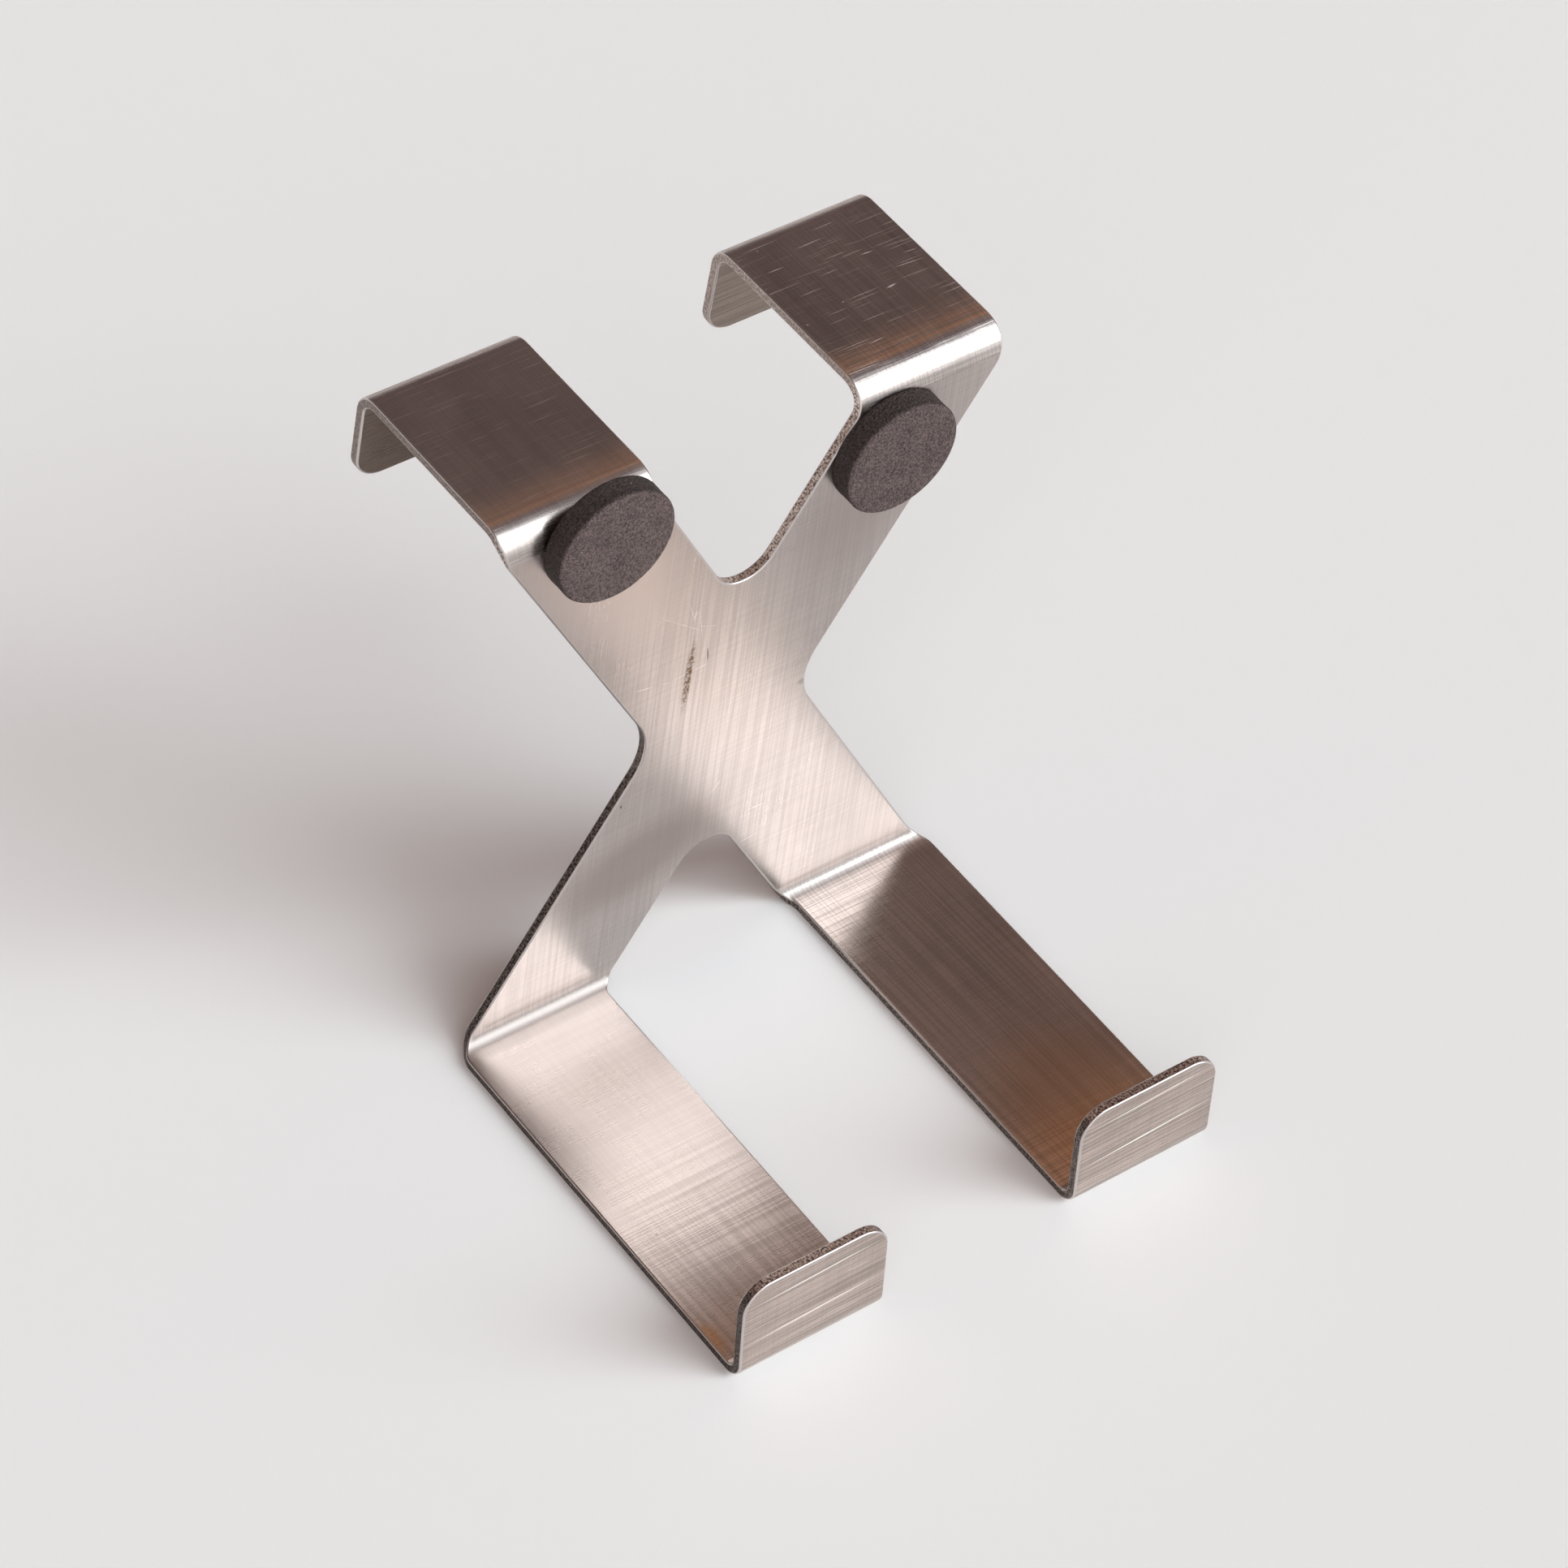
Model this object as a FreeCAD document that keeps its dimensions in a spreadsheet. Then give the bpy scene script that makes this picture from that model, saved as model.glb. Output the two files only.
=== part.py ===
import FreeCAD, Part
import math
import os
import re
import Sketcher

# Driving sizes: millimetres, and degrees for the two leans.
SIZES = {
    # the stamped sheet
    "sheet": 1.0,
    "strip": 15.0,
    "pitch": 35.6,
    "tall": 62.0,
    # the two long hooks at the bottom, which open upwards
    "door_gap": 40.5,
    "long_lip": 8.9,
    "long_lean": 4.6,
    "long_lip_bend": 0.8,
    "foot_bend": 1.2,
    # the two short hooks at the top, which open downwards
    "coat_gap": 19.4,
    "short_lip": 8.2,
    "short_lean": 4.0,
    "short_lip_bend": 1.5,
    "head_bend": 2.0,
    # the crossed arms of the plate
    "cross_height": 29.7,
    "arm_reach": 30.2,
    "crotch_round": 3.2,
    "waist_round": 6.0,
    "lip_round": 2.8,
    # the foam pads: each one's centre, inwards from its strip's middle and down from the top
    "pad_across": 11.4,
    "pad_thick": 2.2,
    "left_pad_inset": 2.0,
    "left_pad_drop": 3.0,
    "right_pad_inset": 4.2,
    "right_pad_drop": 7.3,
    # how far the cuts run past the metal
    "overrun": 2.0,
}

START, END, CENTRE = range(1, 4)
ORIGIN_POINT = (-1, 1)
LEVEL_AXIS, UPRIGHT_AXIS = range(-1, -3, -1)
QUARTER_TURN = 90


def size(name):
    return SIZES[name]


def make_sheet(doc):
    """Writes every driving size into a cell with the size's name as its alias."""
    sheet = doc.addObject("Spreadsheet::Sheet", "Sizes")
    for row, (name, value) in enumerate(SIZES.items(), start=1):
        sheet.set(f"A{row}", name)
        sheet.set(f"B{row}", str(value))
        sheet.setAlias(f"B{row}", name)
    doc.recompute()
    return sheet


def cells(formula):
    """Turns size names in a formula into references to the spreadsheet."""
    return re.sub("[a-z_]+", lambda word: f"Sizes.{word[0]}" if word[0] in SIZES else word[0], formula)


def plane(body, role):
    return next(item for item in body.Origin.OriginFeatures if item.Role == role)


def make_sketch(body, name, role):
    sketch = body.newObject("Sketcher::SketchObject", name)
    sketch.AttachmentSupport = [(plane(body, role), "")]
    sketch.MapMode = "FlatFace"
    return sketch


def reading(sketch, kind, *where):
    """The dimension's value in the sketch as it is drawn."""
    if kind in ("Radius", "Diameter"):
        return sketch.Geometry[where[0]].Radius * (1 if kind == "Radius" else 2)
    if kind == "Angle":
        along = sketch.getPoint(where[0], END) - sketch.getPoint(where[0], START)
        return math.atan2(along.y, along.x)
    step = sketch.getPoint(*where[2:]) - sketch.getPoint(*where[:2])
    return {"DistanceX": step.x, "DistanceY": step.y, "Distance": step.Length}[kind]


def measure(sketch, kind, *where, formula):
    """Adds a dimension and binds it to the formula."""
    drawn = reading(sketch, kind, *where)
    index = sketch.addConstraint(Sketcher.Constraint(kind, *where, drawn))
    sketch.setExpression(f"Constraints[{index}]", cells(formula))


def relate(sketch, kind, *where):
    sketch.addConstraint(Sketcher.Constraint(kind, *where))


def add_polygon(sketch, points):
    """Draws a closed outline through (across, up) pairs and returns its first edge's number."""
    first = sketch.GeometryCount
    for start, end in zip(points, points[1:] + points[:1]):
        line = Part.LineSegment(FreeCAD.Vector(*start, 0), FreeCAD.Vector(*end, 0))
        sketch.addGeometry(line, False)
    count = len(points)
    for step in range(count):
        relate(sketch, "Coincident", first + step, END, first + (step + 1) % count, START)
    return first


def bends():
    """Each bend: centre, radius on the upper or front face, radius on the other face, angles."""
    sheet, tall = size("sheet"), size("tall")
    long_lip, foot = size("long_lip_bend"), size("foot_bend")
    head, short_lip = size("head_bend"), size("short_lip_bend")
    return [
        ((long_lip - size("door_gap"), sheet + long_lip), long_lip, long_lip + sheet,
         2 * QUARTER_TURN - size("long_lean"), 3 * QUARTER_TURN),
        ((-foot, sheet + foot), foot, foot + sheet, 3 * QUARTER_TURN, 4 * QUARTER_TURN),
        ((sheet + head, tall - sheet - head), head + sheet, head, 2 * QUARTER_TURN, QUARTER_TURN),
        ((sheet + size("coat_gap") - short_lip, tall - sheet - short_lip), short_lip + sheet, short_lip,
         QUARTER_TURN, size("short_lean")),
    ]


def on_circle(centre, radius, degrees):
    angle = math.radians(degrees)
    return FreeCAD.Vector(centre[0] + radius * math.cos(angle), centre[1] + radius * math.sin(angle), 0)


def draw_face(sketch, front):
    """Draws one face of the bent sheet from lip to lip; returns its lines, arcs and arc ends."""
    long_lean, short_lean = math.radians(size("long_lean")), math.radians(size("short_lean"))
    stops, arcs = [], []
    for centre, front_radius, back_radius, begin, finish in bends():
        radius = front_radius if front else back_radius
        stops += [on_circle(centre, radius, begin), on_circle(centre, radius, finish)]
        arcs.append((centre, radius, begin, finish))
    long_way = FreeCAD.Vector(math.sin(long_lean), math.cos(long_lean), 0)
    short_way = FreeCAD.Vector(math.sin(short_lean), -math.cos(short_lean), 0)
    stops.insert(0, stops[0] + long_way * size("long_lip"))
    stops.append(stops[-1] + short_way * size("short_lip"))
    lines = []
    for start, end in zip(stops[0::2], stops[1::2]):
        lines.append(sketch.addGeometry(Part.LineSegment(start, end), False))
    rounds = []
    for centre, radius, begin, finish in arcs:
        circle = Part.Circle(FreeCAD.Vector(*centre, 0), FreeCAD.Vector(0, 0, 1), radius)
        low, high = sorted((math.radians(begin), math.radians(finish)))
        number = sketch.addGeometry(Part.ArcOfCircle(circle, low, high), False)
        rounds.append((number, START, END) if begin < finish else (number, END, START))
    for before, (arc, entry, leave), after in zip(lines, rounds, lines[1:]):
        relate(sketch, "Tangent", before, END, arc, entry)
        relate(sketch, "Tangent", arc, leave, after, START)
    return lines, [arc for arc, entry, leave in rounds]


def draw_side(body):
    """The side view of the bent sheet: long lip, long hook, plate, short hook, short lip."""
    sketch = make_sketch(body, "side_view", "YZ_Plane")
    front, front_arcs = draw_face(sketch, True)
    back, back_arcs = draw_face(sketch, False)
    for near, far in zip(front_arcs, back_arcs):
        relate(sketch, "Coincident", near, CENTRE, far, CENTRE)
    for near, far, spot in ((front[0], back[0], START), (front[-1], back[-1], END)):
        ends = [sketch.getPoint(near, spot), sketch.getPoint(far, spot)]
        cap = sketch.addGeometry(Part.LineSegment(*ends), False)
        relate(sketch, "Coincident", near, spot, cap, START)
        relate(sketch, "Coincident", far, spot, cap, END)
        relate(sketch, "Parallel", near, far)
        relate(sketch, "Perpendicular", near, cap)
    relate(sketch, "Horizontal", front[1])
    relate(sketch, "Vertical", front[2])
    relate(sketch, "Horizontal", front[3])
    relate(sketch, "PointOnObject", front[2], START, UPRIGHT_AXIS)
    relate(sketch, "PointOnObject", back[1], START, LEVEL_AXIS)
    tight = ("long_lip_bend", "foot_bend", "head_bend", "short_lip_bend")
    inner = front_arcs[:2] + back_arcs[2:]
    outer = back_arcs[:2] + front_arcs[2:]
    for name, small, large in zip(tight, inner, outer):
        measure(sketch, "Radius", small, formula=name)
        measure(sketch, "Radius", large, formula=f"{name} + sheet")
    measure(sketch, "DistanceX", front_arcs[0], CENTRE, *ORIGIN_POINT, formula="door_gap - long_lip_bend")
    measure(sketch, "DistanceX", *ORIGIN_POINT, front_arcs[3], CENTRE, formula="sheet + coat_gap - short_lip_bend")
    measure(sketch, "DistanceY", *ORIGIN_POINT, front[3], START, formula="tall")
    measure(sketch, "Distance", front[0], START, front[0], END, formula="long_lip")
    measure(sketch, "Distance", front[4], START, front[4], END, formula="short_lip")
    # both lips are drawn downwards, so their angles are below the level axis
    measure(sketch, "Angle", front[0], formula="(0 - 90 - long_lean) * 1 deg")
    measure(sketch, "Angle", front[4], formula="(short_lean - 90) * 1 deg")
    return sketch


def pin(sketch, line, across, up):
    """Sets how far a line's start lies from the origin, right and up."""
    measure(sketch, "DistanceX", *ORIGIN_POINT, line, START, formula=across)
    measure(sketch, "DistanceY", *ORIGIN_POINT, line, START, formula=up)


def draw_openings(body):
    """The front view's cut-outs, which leave the two crossed arms."""
    sketch = make_sketch(body, "front_view", "XZ_Plane")
    sketch.setExpression("AttachmentOffset.Base.z", cells("foot_bend"))
    half, gap = size("strip") / 2, (size("pitch") - size("strip")) / 2
    middle, reach, over = size("cross_height"), size("arm_reach"), size("overrun")
    side = half + size("pitch") / 2 + over
    rise = (side - half) * reach * 2 / size("pitch")
    apex = half * reach * 2 / size("pitch")

    side_text = "strip / 2 + pitch / 2 + overrun"
    rise_text = "(pitch / 2 + overrun) * arm_reach * 2 / pitch"
    first = add_polygon(sketch, [(half, middle), (side, middle + rise), (side, middle - rise)])
    tip, upper, lower = right = range(first, sketch.GeometryCount)
    pin(sketch, tip, "strip / 2", "cross_height")
    pin(sketch, upper, side_text, f"cross_height + {rise_text}")
    measure(sketch, "DistanceX", *ORIGIN_POINT, lower, START, formula=side_text)
    measure(sketch, "DistanceY", lower, START, tip, START, formula=rise_text)
    first = add_polygon(sketch, [(-half, middle), (-side, middle + rise), (-side, middle - rise)])
    for near, far in zip(right, range(first, sketch.GeometryCount)):
        relate(sketch, "Symmetric", near, START, far, START, UPRIGHT_AXIS)

    for way, sign, limit in ((1, "+", "tall + overrun"), (-1, "-", "0 - overrun")):
        point, corner = middle + way * apex, middle + way * reach
        end = size("tall") + over if way > 0 else -over
        vee = add_polygon(sketch, [(0, point), (gap, corner), (gap, end), (-gap, end), (-gap, corner)])
        relate(sketch, "PointOnObject", vee, START, UPRIGHT_AXIS)
        measure(sketch, "DistanceY", *ORIGIN_POINT, vee, START,
                formula=f"cross_height {sign} strip * arm_reach / pitch")
        pin(sketch, vee + 1, "(pitch - strip) / 2", f"cross_height {sign} arm_reach")
        pin(sketch, vee + 2, "(pitch - strip) / 2", limit)
        relate(sketch, "Symmetric", vee + 1, START, vee + 4, START, UPRIGHT_AXIS)
        relate(sketch, "Symmetric", vee + 2, START, vee + 3, START, UPRIGHT_AXIS)
    return sketch


def draw_gaps(body):
    """Side-view rectangles over the space between the two long hooks and between the two short ones."""
    sketch = make_sketch(body, "gap_view", "YZ_Plane")
    sheet, over, middle = size("sheet"), size("overrun"), size("cross_height")
    near, far = -size("foot_bend"), -(size("door_gap") + sheet + over)
    low = add_polygon(sketch, [(near, -over), (near, middle), (far, middle), (far, -over)])
    high_near = sheet + size("head_bend") / 2
    high_far = sheet + size("coat_gap") + size("strip")
    top = size("tall") + over
    high = add_polygon(sketch, [(high_near, middle), (high_far, middle), (high_far, top), (high_near, top)])
    for first in (low, high):
        for step, kind in enumerate(("Vertical", "Horizontal", "Vertical", "Horizontal")):
            turned = {"Vertical": "Horizontal", "Horizontal": "Vertical"}
            relate(sketch, kind if first == low else turned[kind], first + step)
    measure(sketch, "DistanceX", low, START, *ORIGIN_POINT, formula="foot_bend")
    measure(sketch, "DistanceX", low + 2, START, *ORIGIN_POINT, formula="door_gap + sheet + overrun")
    measure(sketch, "DistanceY", low, START, *ORIGIN_POINT, formula="overrun")
    measure(sketch, "DistanceY", *ORIGIN_POINT, low + 2, START, formula="cross_height")
    pin(sketch, high, "sheet + head_bend / 2", "cross_height")
    pin(sketch, high + 2, "sheet + coat_gap + strip", "tall + overrun")
    return sketch


def straight_edges(feature, wanted):
    """Names the feature's straight edges as long as the sheet is thick that the test accepts."""
    names = []
    for number, edge in enumerate(feature.Shape.Edges, start=1):
        if not isinstance(edge.Curve, Part.Line) or abs(edge.Length - size("sheet")) > 0.01:
            continue
        if wanted(edge.CenterOfMass):
            names.append(f"Edge{number}")
    return names


def add_fillet(body, name, names, radius):
    base = body.Tip
    fillet = body.newObject("PartDesign::Fillet", name)
    fillet.Base = (base, names)
    fillet.setExpression("Radius", cells(radius))
    body.Document.recompute()
    return fillet


def make_hook(doc):
    body = doc.addObject("PartDesign::Body", "double_hook")
    body.Label = "double_hook"
    bent = body.newObject("PartDesign::Pad", "bent_sheet")
    bent.Profile = draw_side(body)
    bent.SideType = "Symmetric"
    bent.setExpression("Length", cells("pitch + strip"))
    doc.recompute()

    arms = body.newObject("PartDesign::Pocket", "crossed_arms")
    arms.Profile = draw_openings(body)
    arms.setExpression("Length", cells("foot_bend + sheet + head_bend / 2"))
    doc.recompute()

    gaps = body.newObject("PartDesign::Pocket", "hook_gaps")
    gaps.Profile = draw_gaps(body)
    gaps.SideType = "Symmetric"
    gaps.setExpression("Length", cells("pitch - strip"))
    doc.recompute()

    close = size("strip") / 4
    middle, half = size("cross_height"), size("strip") / 2
    plate_face = size("sheet")
    at_waist = straight_edges(gaps, lambda p: abs(p.z - middle) < 0.01 and abs(abs(p.x) - half) < 0.01)
    add_fillet(body, "waist_rounds", at_waist, "waist_round")
    in_crotch = straight_edges(body.Tip, lambda p: abs(p.x) < 0.01 and 0 < p.y < plate_face)
    add_fillet(body, "crotch_rounds", in_crotch, "crotch_round")
    front, back = -size("door_gap") + close, size("sheet") + size("coat_gap") - close
    at_tips = straight_edges(body.Tip, lambda p: p.y < front or p.y > back)
    add_fillet(body, "lip_rounds", at_tips, "lip_round")
    return body


def make_pad(doc, name, left):
    """A foam disc on the plate's front face, to one side of the middle."""
    body = doc.addObject("PartDesign::Body", name)
    body.Label = name
    sketch = make_sketch(body, f"{name}_view", "XZ_Plane")
    across = size("pitch") / 2 - size(f"{name}_inset")
    up = size("tall") - size(f"{name}_drop")
    middle = FreeCAD.Vector(-across if left else across, up, 0)
    circle = sketch.addGeometry(Part.Circle(middle, FreeCAD.Vector(0, 0, 1), size("pad_across") / 2), False)
    measure(sketch, "Diameter", circle, formula="pad_across")
    ends = (circle, CENTRE, *ORIGIN_POINT) if left else (*ORIGIN_POINT, circle, CENTRE)
    measure(sketch, "DistanceX", *ends, formula=f"pitch / 2 - {name}_inset")
    measure(sketch, "DistanceY", *ORIGIN_POINT, circle, CENTRE, formula=f"tall - {name}_drop")
    disc = body.newObject("PartDesign::Pad", f"{name}_disc")
    disc.Profile = sketch
    disc.setExpression("Length", cells("pad_thick"))
    doc.recompute()
    return body


def centre_depth(bodies):
    """Moves everything along Y so that the origin is under the middle of the outer box."""
    front = "door_gap + sheet"
    bend = "sheet + coat_gap - short_lip_bend + (short_lip_bend + sheet) * cos(short_lean * 1 deg)"
    back = f"{bend} + short_lip * sin(short_lean * 1 deg)"
    for body in bodies:
        body.setExpression("Placement.Base.y", cells(f"({front} - ({back})) / 2"))


def check(doc, bodies):
    for item in doc.Objects:
        if {"Invalid", "Error"} & set(item.State):
            raise RuntimeError(f"{item.Name} did not build: {item.State}")
    for body in bodies:
        shape = body.Shape
        if shape.isNull() or not shape.isValid() or len(shape.Solids) != 1:
            raise RuntimeError(f"{body.Label} is not one good solid")


os.makedirs("parts", exist_ok=True)
doc = FreeCAD.newDocument("double_hook_part")
make_sheet(doc)
bodies = [
    make_hook(doc),
    make_pad(doc, "left_pad", True),
    make_pad(doc, "right_pad", False),
]
centre_depth(bodies)
doc.recompute()
check(doc, bodies)
for body in bodies:
    body.Shape.exportStep(f"parts/{body.Label}.step")
    box = body.Shape.BoundBox
    print(body.Label, round(body.Shape.Volume, 2), [round(v, 3) for v in
          (box.XMin, box.XMax, box.YMin, box.YMax, box.ZMin, box.ZMax)])
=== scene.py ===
import math

import bpy
import numpy as np
from mathutils import Matrix, Vector
from mathutils.geometry import delaunay_2d_cdt


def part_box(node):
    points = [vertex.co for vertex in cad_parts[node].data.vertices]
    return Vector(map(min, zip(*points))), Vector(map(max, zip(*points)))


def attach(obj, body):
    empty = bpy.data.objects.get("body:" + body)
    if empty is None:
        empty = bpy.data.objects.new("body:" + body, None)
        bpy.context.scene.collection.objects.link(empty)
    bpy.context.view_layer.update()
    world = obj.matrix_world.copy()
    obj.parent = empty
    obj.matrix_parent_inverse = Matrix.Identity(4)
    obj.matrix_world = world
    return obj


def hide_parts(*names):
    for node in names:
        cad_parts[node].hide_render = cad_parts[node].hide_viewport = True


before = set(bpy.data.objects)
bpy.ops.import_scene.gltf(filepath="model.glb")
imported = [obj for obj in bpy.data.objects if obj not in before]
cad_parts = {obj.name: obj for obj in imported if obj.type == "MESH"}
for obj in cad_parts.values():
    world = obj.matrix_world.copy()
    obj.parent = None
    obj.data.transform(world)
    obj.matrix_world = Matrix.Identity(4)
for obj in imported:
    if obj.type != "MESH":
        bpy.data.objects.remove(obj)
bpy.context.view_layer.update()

MM = 0.001

# Sizes of the part, in millimetres and degrees, as in its source
SHEET = 1.0
STRIP = 15.0
PITCH = 35.6
TALL = 62.0
DOOR_GAP = 40.5
LONG_LIP = 8.9
LONG_LEAN = 4.6
LONG_LIP_BEND = 0.8
FOOT_BEND = 1.2
COAT_GAP = 19.4
SHORT_LIP = 8.2
SHORT_LEAN = 4.0
SHORT_LIP_BEND = 1.5
HEAD_BEND = 2.0
CROSS_HEIGHT = 29.7
ARM_REACH = 30.2
CROTCH_ROUND = 3.2
WAIST_ROUND = 6.0
LIP_ROUND = 2.8
PAD_ACROSS = 11.4
PAD_THICK = 2.2
PADS = {"left_pad": (-15.8, 59.0), "right_pad": (13.6, 54.7)}

# Where the plate's front face stands in the frame
PLATE_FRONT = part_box("left_pad")[1][1] / MM

# Rounding of the flat pattern where an arm's outer or inner edge meets its strip
HEAD_OUTER_ROUND = 7.0
HEAD_INNER_ROUND = 4.0
FOOT_OUTER_ROUND = 3.0
FOOT_INNER_ROUND = 1.6

# The stamped edge: rounding on the front and back faces
FRONT_ROUND = 0.18
BACK_ROUND = 0.18

# The real sheet's slight leans, in degrees, and how far each reaches, in millimetres
HEAD_SAG = 7.0
HEAD_SAG_REACH = 4.2
TRAY_DROOP = {"left": 2.0, "right": 4.4}
TRAY_DROOP_REACH = 11.0
PLATE_LEAN = 5.0
PLATE_LEAN_SPAN = (26.0, 50.0)

# Mesh spacing in millimetres: in the tight bends, in the wider ones, on the flats and on round corners
TIGHT_PITCH, BEND_PITCH, FLAT_PITCH, CORNER_PITCH = 0.14, 0.22, 0.7, 0.3
TIGHT_RADIUS = 1.5
# Outline parts that rise by more than the first, or run level for more than the second, are divided
STEEP_RISE, LEVEL_LENGTH = 0.5, 0.8
# Mesh points keep this far from the outline and from the rows next to them
OUTLINE_CLEARANCE, ROW_CLEARANCE = 0.4, 0.05

# The photograph's width in pixels, and the camera found from its straight edges
PHOTO = 1932
AZIMUTH = -42.69
ELEVATION = 46.35
ROLL = 8.74
DISTANCE = 505.6
AIM = (8.48, 0.62, 15.57)
FOCAL_PIXELS = 7123.2


def camera_axes():
    """The camera's right, up and backward directions."""
    around, above, roll = (math.radians(angle) for angle in (AZIMUTH, ELEVATION, ROLL))
    away = math.cos(above)
    back = Vector((math.sin(around) * away, -math.cos(around) * away, math.sin(above)))
    level = Vector((math.cos(around), math.sin(around), 0))
    up = back.cross(level)
    return level * math.cos(roll) + up * math.sin(roll), up * math.cos(roll) - level * math.sin(roll), back


def camera_place():
    """The camera's position in millimetres."""
    return Vector(AIM) + Vector((0, PLATE_FRONT, 0)) + camera_axes()[2] * DISTANCE


# The bent sheet

def side_path():
    """The middle of the sheet's thickness from the long lip's tip to the short lip's tip.

    Each entry: run start and end, then a straight's start and direction, or a bend's centre,
    radius, first angle and turning sense. The run equals the height along the plate.
    """
    half = SHEET / 2
    long_lean, short_lean = math.radians(LONG_LEAN), math.radians(SHORT_LEAN)
    foot_arc = (FOOT_BEND + half) * math.pi / 2
    long_arc = (LONG_LIP_BEND + half) * (math.pi / 2 + long_lean)
    head_arc = (HEAD_BEND + half) * math.pi / 2
    short_arc = (SHORT_LIP_BEND + half) * (math.pi / 2 - short_lean)
    foot_top, head_bottom = SHEET + FOOT_BEND, TALL - SHEET - HEAD_BEND
    tray_end = LONG_LIP_BEND - DOOR_GAP
    shelf_end = SHEET + COAT_GAP - SHORT_LIP_BEND
    run = foot_top - foot_arc - (-FOOT_BEND - tray_end) - long_arc - LONG_LIP
    parts = []

    def straight(length, start, way):
        nonlocal run
        parts.append(("line", run, run + length, start, way))
        run += length

    def bend(length, centre, radius, angle, sense):
        nonlocal run
        parts.append(("arc", run, run + length, centre, radius, angle, sense))
        run += length

    lip_centre = (tray_end, SHEET + LONG_LIP_BEND)
    first = math.pi - long_lean
    lip_foot = (lip_centre[0] + (LONG_LIP_BEND + half) * math.cos(first),
                lip_centre[1] + (LONG_LIP_BEND + half) * math.sin(first))
    lip_way = (-math.sin(long_lean), -math.cos(long_lean))
    straight(LONG_LIP, (lip_foot[0] - lip_way[0] * LONG_LIP, lip_foot[1] - lip_way[1] * LONG_LIP), lip_way)
    bend(long_arc, lip_centre, LONG_LIP_BEND + half, first, 1)
    straight(-FOOT_BEND - tray_end, (tray_end, half), (1, 0))
    bend(foot_arc, (-FOOT_BEND, foot_top), FOOT_BEND + half, 3 * math.pi / 2, 1)
    straight(head_bottom - foot_top, (half, foot_top), (0, 1))
    bend(head_arc, (SHEET + HEAD_BEND, head_bottom), HEAD_BEND + half, math.pi, -1)
    straight(shelf_end - SHEET - HEAD_BEND, (SHEET + HEAD_BEND, TALL - half), (1, 0))
    bend(short_arc, (shelf_end, TALL - SHEET - SHORT_LIP_BEND), SHORT_LIP_BEND + half, math.pi / 2, -1)
    last = (shelf_end + (SHORT_LIP_BEND + half) * math.cos(short_lean),
            TALL - SHEET - SHORT_LIP_BEND + (SHORT_LIP_BEND + half) * math.sin(short_lean))
    straight(SHORT_LIP, last, (math.sin(short_lean), -math.cos(short_lean)))
    return parts


PATH = side_path()
LONG_TIP, SHORT_TIP = PATH[0][1], PATH[-1][2]
TRAY_START, TRAY_END = PATH[2][1], PATH[2][2]
PLATE_START, PLATE_END = PATH[4][1], PATH[4][2]
SHELF_START, SHELF_END = PATH[6][1], PATH[6][2]


def at_run(run):
    """Place across the depth and height, and the front face's direction, at a run along the sheet."""
    for part in PATH:
        if run <= part[2] or part is PATH[-1]:
            break
    if part[0] == "line":
        step = run - part[1]
        (y, z), (wy, wz) = part[3], part[4]
        return y + wy * step, z + wz * step, -wz, wy
    centre, radius, angle, sense = part[3:]
    turn = angle + sense * (run - part[1]) / radius
    out = (math.cos(turn), math.sin(turn))
    return centre[0] + radius * out[0], centre[1] + radius * out[1], -sense * out[0], -sense * out[1]


def eased(value, low, high):
    """0 below low, 1 above high and smooth between; low may be the larger."""
    share = min(1.0, max(0.0, (value - low) / (high - low)))
    return share * share * (3 - 2 * share)


def sag(x, run):
    """How far the real sheet leans towards the long lips at a run, in degrees: the soft start of the
    head bend, the long hooks' slight droop before their lips, and the upper arms' slight bow."""
    head = HEAD_SAG * eased(run, SHELF_START + HEAD_SAG_REACH, SHELF_START)
    head *= eased(run, SHELF_START - HEAD_SAG_REACH / 2, SHELF_START)
    droop = TRAY_DROOP["left" if x < 0 else "right"] * (run > TRAY_START - 0.5)
    droop *= eased(run, TRAY_START + TRAY_DROOP_REACH, TRAY_START)
    lean = PLATE_LEAN * eased(run, *PLATE_LEAN_SPAN) * eased(run, SHELF_START, PLATE_END)
    return head + droop + lean


def bend_up(points, lift):
    """Flat (across, run) points, lifted towards the front face, as places and directions in space."""
    places, ups = [], []
    for (x, run), h in zip(points, lift):
        y, z, ny, nz = at_run(run)
        places.append((x, y + ny * h + PLATE_FRONT, z + nz * h))
        lean = math.radians(sag(x, run))
        turned = math.cos(lean), math.sin(lean)
        ups.append((0.0, ny * turned[0] - nz * turned[1], ny * turned[1] + nz * turned[0]))
    return np.array(places), np.array(ups)


def row_runs():
    """Runs of the mesh rows: close together in the bends, wider apart on the flats."""
    runs = []
    for part in PATH:
        length = part[2] - part[1]
        pitch = FLAT_PITCH
        if part[0] == "arc":
            pitch = TIGHT_PITCH if part[4] < TIGHT_RADIUS else BEND_PITCH
        count = max(1, round(length / pitch))
        runs += [part[1] + length * step / count for step in range(count)]
    return runs + [SHORT_TIP]


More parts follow.
